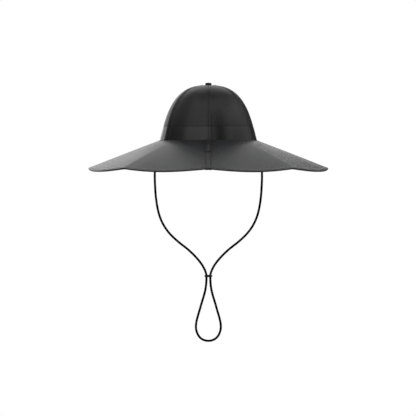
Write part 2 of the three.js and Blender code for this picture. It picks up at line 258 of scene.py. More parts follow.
def smoothRoute(points, samples):
    # A centripetal Catmull-Rom curve through the points, in Hermite form, one span for each pair.
    points = np.concatenate([[2 * points[0] - points[1]], points, [2 * points[-1] - points[-2]]])
    p0, p1, p2, p3 = points[:-3], points[1:-2], points[2:-1], points[3:]
    knots = np.sqrt(np.linalg.norm(np.diff(points, axis=0), axis=1))[:, None]
    k0, k1, k2 = knots[:-2], knots[1:-1], knots[2:]
    m1 = ((p1 - p0) / k0 - (p2 - p0) / (k0 + k1) + (p2 - p1) / k1) * k1
    m2 = ((p2 - p1) / k1 - (p3 - p1) / (k1 + k2) + (p3 - p2) / k2) * k1
    t = np.linspace(0, 1, samples, endpoint=False)[None, :, None]
    p1, p2, m1, m2 = p1[:, None], p2[:, None], m1[:, None], m2[:, None]
    spans = ((2 * t ** 3 - 3 * t ** 2 + 1) * p1 + (t ** 3 - 2 * t ** 2 + t) * m1
             + (3 * t ** 2 - 2 * t ** 3) * p2 + (t ** 3 - t ** 2) * m2)
    return np.concatenate([spans.reshape(-1, 3), points[-2:-1]])


def evenSteps(path, step):
    # The same path with points at equal distances along it, and these distances.
    walked = walkedAlong(path)
    marks = np.linspace(0, walked[-1], int(round(walked[-1] / step)) + 1)
    return readAlong(path, walked, marks), marks


def makeCord():
    # Point = path + radius * (cos a * side + sin a * y), where side lies in the cord's own plane.
    half = np.array([(x, 0, z) for x, z in chinCord["route"]])
    whole = np.concatenate([half, half[-2::-1] * (-1, 1, 1)])
    path, walked = evenSteps(smoothRoute(whole, chinCord["spanSteps"]), chinCord["step"])
    along = unit(np.gradient(path, axis=0))
    tucked = path.copy()
    tucked[0] -= along[0] * chinCord["tuck"]
    tucked[-1] += along[-1] * chinCord["tuck"]
    across = np.array([0.0, 1.0, 0.0])
    side = np.cross(across, along)[:, None]
    angle = ringOf(chinCord["sides"])[:, None]
    rings = tucked[:, None] + chinCord["diameter"] / 2 * (np.cos(angle) * side + np.sin(angle) * across)
    mapGrid = gridOf(np.linspace(0, 1, chinCord["sides"] + 1), walked[:, None])
    return putSweep("chinCordBraid", rings[:, ::-1], mapGrid[:, ::-1]), path


cord, cordPath = makeCord()
seat(cord, "chin_cord")
print("chin cord made")


# The crown: an oval dome of six panels. The turn is 0 at the front and grows towards +X.
crown = dict(
    halfWidth=0.089,
    halfLength=0.101,
    height=0.1016,
    taper=0.24,
    shoulder=3.45,
    roundness=2.96,
    crowding=4.0,  # rows lie closer together towards the top
    foot=0.0016,
    topHole=0.0044,
    cloth=0.002,
    seams=(0, 63, 117, 180, 243, 297),  # degrees
    seamGap=0.00006,  # from a panel's edge to the seam's middle
    seamRise=0.001,  # a seam stands out from the panels beside it as a rounded ridge
    middleRise=0.0004,  # the same at the front and back seams, which are pressed flatter
    seamSpread=7.0,  # degrees
    crease=(0.00045, 0.0008),  # its depth and width, as for each dip below
    foldRise=0.0003,  # of the cloth over the seam's folded allowance
    foldEnds=(0.0052, 0.0064),  # from the seam to where the allowance ends
    stitchLine=0.0042,  # from the seam to its topstitching
    stitchDip=(0.00022, 0.0006),
    stitchHeights=(0.0287, 0.0995),
    puckers=[(0.00007, 0.0085, 1.0), (0.000042, 0.0133, 2.1)],  # height, length and phase of each wave
    puckerWidth=0.0032,  # how far they reach from the stitches
    drift=0.00022,
    driftSeed=4,
    loft=0.0006,  # the cloth's nap and fullness outside the plain form
    calmWidths=(0.006, 0.03),  # the half widths near the top between which seams and waviness begin
    # where each seam's layers bunch up: height, half width of the crown there, length and width
    bunches=[(0.0009, 0.0125, 0.0055, 0.0042), (0.0006, 0.044, 0.008, 0.005)],
    wearAndHighlightWidth=0.003,
    seamPaintedShade=(0.35, 0.0009),  # how dark the painted shade in the seam's crease is, and how wide; the cloth is rougher there too
    stitchPaintedShade=(0.2, 0.0005),
    hiddenRows=6,  # under the band
    hiddenStep=0.0002,
    rows=96,
    columns=84,
)
headWidth = crown["halfWidth"]
panelNames = ("front_right", "side_right", "back_right", "back_left", "side_left", "front_left")
band = dict(
    foot=0.0004,
    top=0.0267,
    thickness=0.001,
    gap=0.0003,
    edgeRound=0.00045,
    edgeSteps=5,
    seamDip=(0.0004, 0.0007),
    foldRise=0.00018,
    stitchDip=(0.00012, 0.0006),
    seamPaintedShade=(0.35, 0.0008),
    edgePaintedShade=0.6,
    around=0.598,  # its length, for the weave
    rows=26,
    columns=1080,
)


def heightOfClimb(climb):
    # height = full height * (1 - (1 - climb) ^ crowding), so that equal steps of climb crowd at the top
    return crown["height"] * (1 - np.abs(1 - climb) ** crown["crowding"])


def climbOfHeight(height):
    # the same the other way: climb = 1 - (1 - height / full height) ^ (1 / crowding)
    return 1 - (1 - height / crown["height"]) ** (1 / crown["crowding"])


def crownHalfWidth(height):
    # A tapering side that turns in as a superellipse does:
    # width = (foot width - taper * height) * (1 - (height / full height) ^ shoulder) ^ (1 / roundness)
    turnIn = 1 - np.clip(height / crown["height"], 0, 1) ** crown["shoulder"]
    return (headWidth - crown["taper"] * height) * turnIn ** (1 / crown["roundness"])


def crownPoints(turn, climb):
    # x = width sin(turn), y = -length cos(turn), z = height, each standing out along the seams.
    height = heightOfClimb(climb)
    width = crownHalfWidth(height)
    share = width / headWidth
    rise = 0.0
    for seam in crown["seams"]:
        away = np.abs((np.degrees(turn) - seam + 180) % 360 - 180)
        full = crown["middleRise"] if seam % 180 == 0 else crown["seamRise"]
        rise = rise + full * (1 - smoothStep(0, crown["seamSpread"], away)) * share
    x = (width + rise) * np.sin(turn)
    y = -(crown["halfLength"] * share + rise) * np.cos(turn)
    return gridOf(x, y, height)


def crownNormals(turn, climb):
    # The cross product of a short step round the crown and a short step up it.
    step = 1e-4
    alongTurn = crownPoints(turn + step, climb) - crownPoints(turn - step, climb)
    alongClimb = crownPoints(turn, climb + step) - crownPoints(turn, climb - step)
    return unit(np.cross(alongTurn, alongClimb))


# Waves of the cloth's slow drift: radians a metre along x, y and z, and each wave's share of the seed
driftWaves = [((61.0, 0.0, 37.0), 1), ((0.0, 53.0, -71.0), 2), ((29.0, 29.0, 83.0), 3)]


def clothDrift(points, seed):
    # A slow, slight waviness of sewn cloth: the mean of three crossed sine waves.
    return np.mean([np.sin(points @ np.array(way) + share * seed) for way, share in driftWaves], axis=0)


def fromNearestSeam(turn):
    # The turn in radians between a point and the crown's nearest seam.
    seams = np.radians(crown["seams"])
    return np.min([np.abs((turn - seam + np.pi) % tau - np.pi) for seam in seams], axis=0)


def crownFrame(turn, climb):
    # The crown's cloth and its normals: the plain form with its slight waviness, which ends near the top,
    # and with the places where the seams' layers bunch up.
    smooth = crownPoints(turn, climb)
    normals = crownNormals(turn, climb)
    width = crownHalfWidth(smooth[..., 2])
    calm = smoothStep(*crown["calmWidths"], width)
    fromSeam = fromNearestSeam(turn) * width
    fullness = crown["loft"] + crown["drift"] * clothDrift(smooth, crown["driftSeed"]) * calm
    for height, crownWidth, length, spread in crown["bunches"]:
        fullness = fullness + height * hollow(width - crownWidth, length) * hollow(fromSeam, spread)
    return smooth + normals * fullness[..., None], normals


def seamRelief(fromSeam, walked, share, seed):
    # How far the cloth stands off beside a seam: the edge dives in, the folded allowance lifts the cloth,
    # the topstitching draws it down, and the cloth puckers a little between the stitches.
    fromStitch = fromSeam - crown["stitchLine"]
    lift = crown["foldRise"] * (1 - smoothStep(*crown["foldEnds"], fromSeam))
    dips = bell(fromSeam, crown["crease"]) + bell(fromStitch, crown["stitchDip"])
    pucker = sum(height * np.sin(tau * walked / length + phase * seed)
                 for height, length, phase in crown["puckers"])
    return (lift - dips + pucker * hollow(fromStitch, crown["puckerWidth"])) * share


def panelRows():
    # The climbs of a panel's rows, from its foot under the band to the hole at the top, and which lie free.
    bandEnd = band["top"] + band["gap"]
    hidden = np.linspace(climbOfHeight(crown["foot"]), climbOfHeight(bandEnd), crown["hiddenRows"])
    topWidth = headWidth - crown["taper"] * crown["height"]
    turnIn = (crown["topHole"] / topWidth) ** crown["roundness"]
    topClimb = 1 - (turnIn / crown["shoulder"]) ** (1 / crown["crowding"])
    free = np.linspace(climbOfHeight(bandEnd + crown["hiddenStep"]), topClimb, crown["rows"])
    return np.concatenate([hidden, free])[:, None], np.arange(len(hidden) + len(free))[:, None] >= len(hidden)


def makePanel(index):
    # Outer point = smooth point + normal * relief, or - normal * recess under the band.
    # The inner side lies a cloth deeper.
    name = panelNames[index]
    fromTurn, toTurn = np.radians((crown["seams"] + (360,))[index:index + 2])
    climb, free = panelRows()
    width = crownHalfWidth(heightOfClimb(climb))
    trim = crown["seamGap"] / width
    share = 0.5 - 0.5 * np.cos(np.pi * np.linspace(0, 1, crown["columns"]))
    smooth, normals = crownFrame(fromTurn + trim + (toTurn - fromTurn - 2 * trim) * share, climb)
    across = np.linalg.norm(np.diff(smooth, axis=1), axis=-1)
    fromFirst = np.pad(np.cumsum(across, axis=1), ((0, 0), (1, 0)))
    fromSeam = np.minimum(fromFirst, fromFirst[:, -1:] - fromFirst)
    walked = walkedAlong(smooth[:, len(share) // 2])[:, None]
    nearTop = smoothStep(*crown["calmWidths"], width)
    recess = band["thickness"] + band["gap"]
    offset = np.where(free, seamRelief(fromSeam, walked, nearTop, index), -recess)
    outer = smooth + normals * offset[..., None]
    innerSmooth, innerNormals = crownFrame(fromTurn + (toTurn - fromTurn) * share, climb)
    inner = innerSmooth - innerNormals * (crown["cloth"] + np.where(free, 0, recess))[..., None]
    fromStitch = fromSeam - crown["stitchLine"]
    # Painted shade along the seam's crease and the stitched grooves; a painted highlight along the stitched
    # strips beside the seam.
    pressAndPaintedShade = bell(fromSeam, crown["seamPaintedShade"]) + bell(fromStitch, crown["stitchPaintedShade"]) * nearTop
    marks = dict(wearAndHighlight=hollow(fromStitch, crown["wearAndHighlightWidth"]) * nearTop, pressAndPaintedShade=pressAndPaintedShade)
    mapGrid = gridOf(fromFirst - fromFirst[:, -1:] / 2, walked)
    panel = putWall("crownCloth_" + name, outer, inner, mapGrid, False, marks)
    return seat(panel, "crown_panel_" + name)


panels = [makePanel(index) for index in range(len(panelNames))]
print("crown panels made")


def seamStitches(seamDegrees, side):
    # The line beside one seam, up the crown: turn = seam + side * stitch line / speed round the crown there.
    samples, nudge = 400, 1e-3
    low, high = crown["stitchHeights"]
    climb = np.linspace(climbOfHeight(low), climbOfHeight(high), samples)
    turn = np.full_like(climb, math.radians(seamDegrees))
    around = crownPoints(turn + nudge, climb) - crownPoints(turn - nudge, climb)
    speed = np.linalg.norm(around, axis=-1) / (2 * nudge)
    line, normals = crownFrame(turn + side * crown["stitchLine"] / speed, climb)
    middle, along, off = stitchRow(line, normals, thread)
    return middle + off * (crown["foldRise"] - crown["stitchDip"][0]), along, off


seamRows = [seamStitches(seam, side) for seam in crown["seams"] for side in (-1, 1)]
crownStitches = putStitches("crownTopstitching", seamRows, thread)
print("crown topstitching made")


def makeBand():
    # The band is the crown's own surface between two heights, with rounded edges and the seams' creases.
    low, high, edge = band["foot"], band["top"], band["edgeRound"]
    bend = np.linspace(0, np.pi / 2, band["edgeSteps"])
    fromEdge, inset = edge * (1 - np.cos(bend)), edge * (1 - np.sin(bend))
    between = np.linspace(low + edge, high - edge, band["rows"])[1:-1]
    rows = np.concatenate([gridOf(low + fromEdge, inset), gridOf(between, 0),
                           gridOf(high - fromEdge, inset)[::-1]])
    height, inset = rows.T[..., None]
    turn = ringOf(band["columns"])
    smooth, normals = crownFrame(turn, climbOfHeight(height))
    fromSeam = fromNearestSeam(turn) * np.linalg.norm(smooth[..., :2], axis=-1)
    relief = (band["foldRise"] * (1 - smoothStep(*crown["foldEnds"], fromSeam))
              - bell(fromSeam, band["seamDip"]) - bell(fromSeam - crown["stitchLine"], band["stitchDip"]))
    outer = smooth + normals * (relief - inset)[..., None]
    inner = smooth - normals * band["thickness"]
    # Painted shade in the seams' creases and on the rounded edges, where the band meets the crown and the
    # brim; the cloth is rougher there too.
    marks = dict(pressAndPaintedShade=bell(fromSeam, band["seamPaintedShade"]) + band["edgePaintedShade"] * (inset > 0))
    mapGrid = gridOf(np.linspace(0, band["around"], band["columns"] + 1), height)
    piece = putWall("glossBandCloth", outer, inner, mapGrid, True, marks)
    return seat(piece, "crown_band")


bandPiece = makeBand()
print("band made")


# The button: a turned profile, domed on top, with the cloth drawn in under its rim.
button = dict(
    radius=0.0059,
    base=0.1019,
    top=0.1074,
    shoulder=0.0019,
    dome=0.0005,
    tuckedRim=0.0007,
    gathers=16,
    gatherDepth=0.012,  # as a share of the radius
    bendSteps=9,
    topSteps=12,
    pin=0.001,  # the smallest ring, as a share of the flat top
    sides=64,
)


def makeButton():
    # Radius and height run along a rounded profile; the cloth's gathers are a slight wave round its foot:
    # radius = profile * (1 + gather depth * cos(gathers * a) * (1 - level)).
    base, top, shoulder, rim = (button[part] for part in ("base", "top", "shoulder", "tuckedRim"))
    bend = np.linspace(0, np.pi / 2, button["bendSteps"])
    domeFoot = top - button["dome"]
    flat = button["radius"] - shoulder
    share = np.linspace(1, button["pin"], button["topSteps"])[1:]
    profile = np.concatenate([
        gridOf([button["pin"] * flat, flat], base),
        gridOf(button["radius"] - rim * (1 - np.sin(bend)), base + rim * (1 - np.cos(bend))),
        gridOf(flat + shoulder * np.cos(bend), domeFoot - shoulder * (1 - np.sin(bend))),
        gridOf(flat * share, domeFoot + button["dome"] * (1 - share ** 2)),
    ])
    radius, height = profile.T[..., None]
    angle = ringOf(button["sides"])
    level = np.clip((height - base) / (top - base), 0, 1)
    wave = button["gatherDepth"] * np.cos(button["gathers"] * angle) * (1 - level) * (radius > flat)
    radius = radius * (1 + wave)
    rings = gridOf(radius * np.sin(angle), -radius * np.cos(angle), height)
    return seat(putSweep("clothButton", rings, closeGrid(rings, 1)[..., :2]), "crown_button")


buttonPiece = makeButton()
print("button made")


# The brim: a straight slope with eight folds that deepen towards a bound edge.
brim = dict(
    overhang=0.1314,
    root=0.0012,  # height of the upper side where it meets the crown
    collar=0.0033,
    slope=21.65,  # degrees
    folds=8,
    foldDepth=0.0054,
    flatness=0.8,  # 1 gives flat facets between crisp crests, 0 gives even waves
    cloth=0.002,
    edgeRoll=0.0014,  # radius of the rolled edge
    hemRise=0.0003,
    hemEnds=(0.0058, 0.0066),  # from the edge to where the hem ends
    hemStitch=0.0052,
    stitchDip=(0.00016, 0.0005),  # depth and width
    stitchSunk=0.0001,  # how deep the thread lies in the hem
    rollLine=0.00308,  # from the edge to the groove where the roll begins
    rollGroove=(0.0001, 0.0004),
    drift=0.0003,
    driftScale=0.6,
    driftSeed=5,
    driftStart=0.2,  # the share of the overhang over which it sets in
    loft=0.0003,  # the cloth's fullness outside the plain form
    arch=0.0006,  # and its slight arch between the crown and the edge
    sideLift=0.001,  # how far the edge rides up at the sides
    wearAndHighlightWidth=0.004,
    footPaintedShade=(0.6, 0.003),  # how dark the painted shade where the brim meets the crown is, and how wide; the cloth is rougher there too
    stitchPaintedShade=(0.35, 0.0004),
    rollPaintedShade=0.4,
    collarRows=3,
    rollRows=9,
    underRows=20,
    rows=58,
    columns=900,
)
brimHalfWidth = headWidth + brim["overhang"]
rollBase = brimHalfWidth - brim["edgeRoll"]
extraLength = crown["halfLength"] - headWidth


def foldShare(turn):
    # 0 on a crest and 1 in a trough: flat facets blended with even waves.
    width = tau / brim["folds"]
    phase = turn - width * (np.floor(turn / width) + 0.5)
    crest = math.cos(width / 2)
    facet = (np.cos(phase) - crest) / (1 - crest)
    wave = 0.5 + 0.5 * np.cos(brim["folds"] * phase)
    return brim["flatness"] * facet + (1 - brim["flatness"]) * wave


def brimPoints(halfWidth, turn):
    # x = w sin(turn), y = -(w + extra length) cos(turn), z = root - (w - crown width) * (slope + fold)
    out = np.maximum(halfWidth - headWidth, 0)
    fall = math.tan(math.radians(brim["slope"])) + brim["foldDepth"] / brim["overhang"] * foldShare(turn)
    x = halfWidth * np.sin(turn)
    y = -(halfWidth + extraLength) * np.cos(turn)
    return gridOf(x, y, brim["root"] - out * fall)


def brimFrame(halfWidth, turn):
    # The point on the slightly wavy brim, and the unit directions outwards along the slope and off the cloth.
    step = 1e-4
    point = brimPoints(halfWidth, turn)
    out = unit(brimPoints(halfWidth + step, turn) - brimPoints(halfWidth - step, turn))
    around = unit(brimPoints(halfWidth, turn + step) - brimPoints(halfWidth, turn - step))
    off = unit(np.cross(out, around))
    fromCrown = np.maximum(halfWidth - headWidth, 0) / brim["overhang"]
    drift = brim["drift"] * clothDrift(brim["driftScale"] * point, brim["driftSeed"])
    drift = drift * smoothStep(0, brim["driftStart"], fromCrown)
    loft = brim["loft"] + brim["arch"] * np.sin(np.pi * np.minimum(fromCrown, 1))
    loft = loft + brim["sideLift"] * fromCrown * np.sin(turn) ** 2
    return point + off * (drift + loft)[..., None], out, off


def brimHem(toEdge):
    # The upper side near the edge: the hem is higher, and its stitching and the roll draw it down.
    return (brim["hemRise"] * (1 - smoothStep(*brim["hemEnds"], toEdge))
            - bell(toEdge - brim["hemStitch"], brim["stitchDip"])
            - bell(toEdge - brim["rollLine"], brim["rollGroove"]))


def makeBrim():
    # One closed section, the upper side, the rolled edge, the underside and the head edge, carried round:
    # point = brim point + off * lift + out * reach. Each stretch has its half width, lift, reach and marks.
    inner, half = headWidth - brim["collar"], brim["cloth"] / 2
    upper = np.concatenate([np.linspace(inner, headWidth, brim["collarRows"], endpoint=False),
                            np.linspace(headWidth, rollBase, brim["rows"])])
    lower = np.linspace(rollBase, inner, brim["underRows"])
    bend = np.linspace(0, np.pi, brim["rollRows"] + 2)[1:-1]
    # Painted contact shade on the brim beside the crown.
    foot = bell(np.maximum(upper - headWidth, 0), brim["footPaintedShade"])
    # Lighter towards the edge and over the roll; painted shade in the hem's stitched grooves and along the
    # middle of the rolled edge.
    (upperLightening, upperPressed), (lowerLightening, lowerPressed) = (
        (hollow(toEdge, brim["wearAndHighlightWidth"]), bell(toEdge - brim["hemStitch"], brim["stitchPaintedShade"]))
        for toEdge in (brimHalfWidth - upper, brimHalfWidth - lower))
    rows = np.concatenate([
        gridOf(upper, brimHem(brimHalfWidth - upper), 0, upperLightening, upperPressed + foot),
        gridOf(rollBase, (half + brim["hemRise"]) * np.cos(bend) - half, brim["edgeRoll"] * np.sin(bend),
               1, brim["rollPaintedShade"] * np.sin(bend)),
        gridOf(lower, -brim["cloth"], 0, lowerLightening, lowerPressed),
    ])
    halfWidth, lift, reach, wearAndHighlight, pressAndPaintedShade = rows.T[..., None]
    point, out, off = brimFrame(halfWidth, ringOf(brim["columns"]))
    section = point + off * lift[..., None] + out * reach[..., None]
    quads = gridQuads(*section.shape[:2], closedRows=True, closedColumns=True)
    cornerMap = gridMap(closeGrid(closeGrid(section, 0), 1)[..., :2])
    cornerMap = cornerMap.reshape(-1, 4, 2)[:, ::-1].reshape(-1, 2)
    piece = putMesh("brimCloth", section, quads[:, ::-1], (), cornerMap, dict(wearAndHighlight=wearAndHighlight, pressAndPaintedShade=pressAndPaintedShade))
    return seat(piece, "brim")


brimPiece = makeBrim()
print("brim made")


def hemStitches(lift, side):
    # The line round the brim in its hem: side is 1 above the cloth and -1 below it.
    samples = 4000
    point, _, off = brimFrame(brimHalfWidth - brim["hemStitch"], np.linspace(0, tau, samples))
    return stitchRow(point + off * lift, side * off, thread)


hemRows = [hemStitches(brim["hemRise"] - brim["stitchSunk"], 1), hemStitches(-brim["cloth"], -1)]
brimStitches = putStitches("brimTopstitching", hemRows, thread)
print("brim topstitching made")


# The tape over the front seam and the tab on it: thin straps with rounded, stitched edges.
tape = dict(
    width=0.0116,
    thickness=0.0008,
    gap=0.00012,  # from the hem's level to the tape, and from the tape to the tab
    start=0.0016,  # from the crown
    turnUnder=0.009,
    stitchInset=0.0016,
    grooveWidth=0.0007,
    grooveDepth=0.0003,
    pressAndPaintedShade=0.6,  # how dark the groove's painted shade is
    stitchEnds=(0.002, 0.002),  # how far the stitching stays from the tab and from the brim's edge
    rows=(90, 13, 8),  # down the brim, round its edge and back
)
tab = dict(
    width=0.0124,
    length=0.057,
    thickness=0.001,
    start=0.002,
    stitchInset=0.0025,
    grooveWidth=0.0009,
    grooveDepth=0.0003,
    ribWidth=0.0009,
    ribHeight=0.0006,
    ribGrows=(0.016, 0.036),  # from the start, where the rib rises
    lightened=(0.018, 0.034),  # where its painted highlight sets in
    endTaper=0.002,
    endShare=0.5,  # the thickness left at the end
    highlightEnd=0.0005,
    shade=(0.5, 0.4, 0.45, 0.45),  # how dark the painted shade is: plain, more in the grooves, more at the start under the band and less at the end
    shadedStart=(0.016, 0.036),
    shadedEnd=0.004,
    stitchEnds=(0.003, 0.001),  # how far the stitching stays from the crown and from the tab's end
    rows=120,
)
strapColumns = dict(flat=19, bend=5)


def strapSection(strap):
    # Across and height of a closed section: a flat strap with round edges and two stitched grooves on top.
    # Runs along the lower side, round one edge, back along the upper side and round the other.
    edge = strap["thickness"] / 2
    reach = strap["width"] / 2 - edge
    flat = np.linspace(-1, 1, strapColumns["flat"]) * reach
    bend = np.linspace(-np.pi / 2, np.pi / 2, strapColumns["bend"] + 2)[1:-1]
    side, rise = reach + edge * np.cos(bend), edge + edge * np.sin(bend)
    top = strap["thickness"] - strap["grooveDepth"] * strapGroove(strap, flat)
    return np.concatenate([gridOf(flat, 0), gridOf(side, rise), gridOf(flat, top)[::-1],
                           gridOf(-side, rise)[::-1]]).T


def strapGroove(strap, across):
    # 1 in the two stitched grooves near the edges: a bell round the stitching's distance from the edge.
    fromEdge = strap["width"] / 2 - np.abs(across)
    return hollow(fromEdge - strap["stitchInset"], strap["grooveWidth"])


def putStrap(name, node, across, rings, walked, marks):
    # The strap's closed section, carried along the rings, with the way walked as its map.
    mapGrid = gridOf(closeGrid(across, 0), walked)
    return seat(putSweep(name, rings, mapGrid, marks), node)


def brimLine(across, halfWidth):
    # The brim's frame at a distance across from its front seam, instead of at a turn.
    return brimFrame(halfWidth, np.arcsin(across / halfWidth))


def makeTape():
    # Down the brim, round its edge in half a circle and back underneath: point = brim's middle
    # + off * cos(angle) * lift + out * sin(angle) * (lift + what the roll stands out).
    across, height = strapSection(tape)
    downRows, bendRows, backRows = tape["rows"]
    down = np.linspace(headWidth + tape["start"], rollBase, downRows)
    bend = np.linspace(0, np.pi, bendRows + 2)[1:-1]
    back = np.linspace(rollBase, rollBase - tape["turnUnder"], backRows)
    rows = np.concatenate([gridOf(down, 0), gridOf(rollBase, bend), gridOf(back, np.pi)])
    halfWidth, angle = rows.T[..., None]
    point, out, off = brimLine(across, halfWidth)
    half = brim["cloth"] / 2
    lift = half + brim["hemRise"] + tape["gap"] + height
    rings = (point - off * half + off * (np.cos(angle) * lift)[..., None]
             + out * (np.sin(angle) * (lift + brim["edgeRoll"] - half))[..., None])
    # Painted shade in the stitched grooves, where the cloth is also rougher.
    marks = dict(pressAndPaintedShade=np.where(height > 0, tape["pressAndPaintedShade"] * strapGroove(tape, across), 0))
    walked = walkedAlong(rings[:, 0])[:, None]
    return putStrap("seamTapeCloth", "brim_seam_tape", across, rings, walked, marks)


def makeTab():
    # Point = brim point at the same x + off * (base + thin * (height + rib)). The rib grows away from the
    # crown, where it is pressed flat; the tab thins out at its lower end, which is turned under.
    across, height = strapSection(tab)
    upper = height > tab["thickness"] / 2
    fromStart = np.linspace(0, tab["length"], tab["rows"])[:, None]
    toEnd = tab["length"] - fromStart
    thin = tab["endShare"] + (1 - tab["endShare"]) * smoothStep(0, tab["endTaper"], toEnd)
    ridge = hollow(across, tab["ribWidth"]) * upper
    rib = tab["ribHeight"] * ridge * smoothStep(*tab["ribGrows"], fromStart)
    base = brim["hemRise"] + 2 * tape["gap"] + tape["thickness"]
    halfWidth = headWidth + tab["start"] + fromStart
    point, _, off = brimLine(across, halfWidth)
    rings = point + off * (base + thin * (height + rib))[..., None]
    # A painted highlight along the rib; painted shade over the rest of the upper side, deepest under the band
    # at the start, with rougher cloth there.
    wearAndHighlight = ridge * smoothStep(*tab["lightened"], fromStart) * smoothStep(tab["highlightEnd"], tab["endTaper"], toEnd)
    plain, grooves, atStart, atEnd = tab["shade"]
    shaded = (plain + atStart * (1 - smoothStep(*tab["shadedStart"], fromStart))
              - atEnd * (1 - smoothStep(0, tab["shadedEnd"], toEnd)))
    pressAndPaintedShade = (shaded + grooves * strapGroove(tab, across)) * (1 - wearAndHighlight) * upper
    return putStrap("seamTabCloth", "brim_tab", across, rings, halfWidth, dict(pressAndPaintedShade=pressAndPaintedShade, wearAndHighlight=wearAndHighlight))


def strapStitches(strap, start, stop, lift):
    # The two lines of stitches in a strap's grooves, down the brim between two half widths.
    samples = 300
    line = strap["width"] / 2 - strap["stitchInset"]
    for across in (-line, line):
        point, _, off = brimLine(across, np.linspace(start, stop, samples))
        yield stitchRow(point + off * lift, off, strapThread)


def makeStrapStitches():
    # The threads lie in the grooves: lift = what lies below + thickness - groove depth.
    tabEnd = headWidth + tab["length"]
    tapeLift = brim["hemRise"] + tape["gap"] + tape["thickness"] - tape["grooveDepth"]
    tabLift = tapeLift + tape["gap"] + tab["thickness"]
    fromTab, fromEdge = tape["stitchEnds"]
    fromCrown, fromEnd = tab["stitchEnds"]
    rows = [*strapStitches(tape, tabEnd + fromTab, brimHalfWidth - fromEdge, tapeLift),
            *strapStitches(tab, headWidth + fromCrown, tabEnd - fromEnd, tabLift)]
    return putStitches("tapeTopstitching", rows, strapThread)


tapePiece = makeTape()
tabPiece = makeTab()
strapStitchPiece = makeStrapStitches()
print("seam tape and tab made")


# The anchors: a folded tab on each side, sewn into the head seam, with the cord's end inside its fold.
anchor = dict(
    width=0.010,
    thickness=0.005,
    seamOffset=0.0008,
    lean=0.003,
    bottom=-0.0240,
    topGap=0.0004,  # how far its top goes into the brim's own fullness
    bulgeAt=0.78,  # the share of the way down to the swelling round the cord's end
    bulge=(0.0005, 0.16),  # its height and width
    waistAt=0.42,  # the same for the stitched waist above it
    waist=(0.0004, 0.05),
    closing=(0.9, 0.75),  # where the end begins to close, and how far
    narrowing=(0.5, 0.1),  # the same for its width
    corners=(0.6, 0.35),  # powers of the rounded oblong: smaller is squarer
    around=0.024,  # its girth and its length, for the weave
    long=0.02,
    rows=40,
    sides=36,
)


def squared(value, power):
    # Keeps the sign and raises the size to a power, which makes a circle's sine and cosine an oblong's.
    return np.sign(value) * np.abs(value) ** power


def makeAnchor(side, node):
    # A rounded oblong section carried down a leaning line; it swells round the cord's end and closes there.
    # Point = line + half thickness * cos(a) squared off, half width * sin(a) squared off.
    topX = headWidth + anchor["seamOffset"] + anchor["thickness"] / 2
    slope = math.tan(math.radians(brim["slope"]))
    wall = brim["cloth"] / math.cos(math.radians(brim["slope"]))
    topZ = brim["root"] - (topX - headWidth) * slope - wall + anchor["topGap"]
    t = np.linspace(0, 1, anchor["rows"])[:, None]
    spineX = topX + anchor["lean"] * t
    spineZ = topZ + (anchor["bottom"] - topZ) * t
    closeFrom, closeShare = anchor["closing"]
    closing = np.sqrt(1 - smoothStep(closeFrom, 1.0, t) * closeShare)
    swell = bell(t - anchor["bulgeAt"], anchor["bulge"]) - bell(t - anchor["waistAt"], anchor["waist"])
    halfThick = (anchor["thickness"] / 2 + swell) * closing
    narrowFrom, narrowShare = anchor["narrowing"]
    halfWide = anchor["width"] / 2 * (1 - narrowShare * smoothStep(narrowFrom, 1, t)) * np.sqrt(closing)
    angle = ringOf(anchor["sides"])
    thickPower, widePower = anchor["corners"]
    x = spineX + halfThick * squared(np.cos(angle), thickPower)
    y = halfWide * squared(np.sin(angle), widePower)
    z = spineZ - slope * (x - spineX) * (1 - t)
    rings = gridOf(side * x, y, z)
    mapGrid = gridOf(np.linspace(0, anchor["around"], anchor["sides"] + 1), anchor["long"] * t)
    if side > 0:
        rings, mapGrid = rings[:, ::-1], mapGrid[:, ::-1]
    piece = putSweep("anchorTape_" + node.split("_")[-1], rings, mapGrid)
    return seat(piece, node)


anchors = [makeAnchor(1, "cord_anchor_right"), makeAnchor(-1, "cord_anchor_left")]
print("cord anchors made")


# Shader tools

def put(tree, socket, value):
    # Joins a socket to another one, or gives it a plain value.
    if isinstance(value, bpy.types.NodeSocket):
        tree.links.new(value, socket)
    else:
        socket.default_value = value


def addNode(tree, kind, inputs=None, **settings):
    # A shader node with its settings, and with inputs that are called by name or by number.
    node = tree.nodes.new("ShaderNode" + kind)
    for title, value in settings.items():
        setattr(node, title, value)
    for title, value in (inputs or {}).items():
        put(tree, node.inputs[title], value)
    return node


def newGroup(name, inputs, outputs):
    # A shader group with named sockets: what comes in, and what goes out.
    group = bpy.data.node_groups.new(name, "ShaderNodeTree")
    for way, sockets in (("INPUT", inputs), ("OUTPUT", outputs)):
        for title, kind in sockets.items():
            group.interface.new_socket(title, in_out=way, socket_type="NodeSocket" + kind)
    return group, group.nodes.new("NodeGroupInput").outputs, group.nodes.new("NodeGroupOutput").inputs


def calc(tree, operation, first, second=0.0, third=0.0, clamp=False):
    # One maths node; MULTIPLY_ADD is first * second + third.
    inputs = {0: first, 1: second, 2: third}
    return addNode(tree, "Math", inputs, operation=operation, use_clamp=clamp).outputs[0]


def noise(tree, place, scale, detail=2.0, roughness=0.5):
    inputs = dict(Vector=place, Scale=scale, Detail=detail, Roughness=roughness)
    return addNode(tree, "TexNoise", inputs).outputs["Fac"]


def crossedWaves(tree, threads, rounding):
    # Threads that cross: (|sin(pi u)| |sin(pi v)|) to the power of the rounding, u and v counted in threads.
    waves = (calc(tree, "SINE", calc(tree, "MULTIPLY", count, math.pi)) for count in threads)
    return calc(tree, "POWER", calc(tree, "ABSOLUTE", calc(tree, "MULTIPLY", *waves)), rounding)


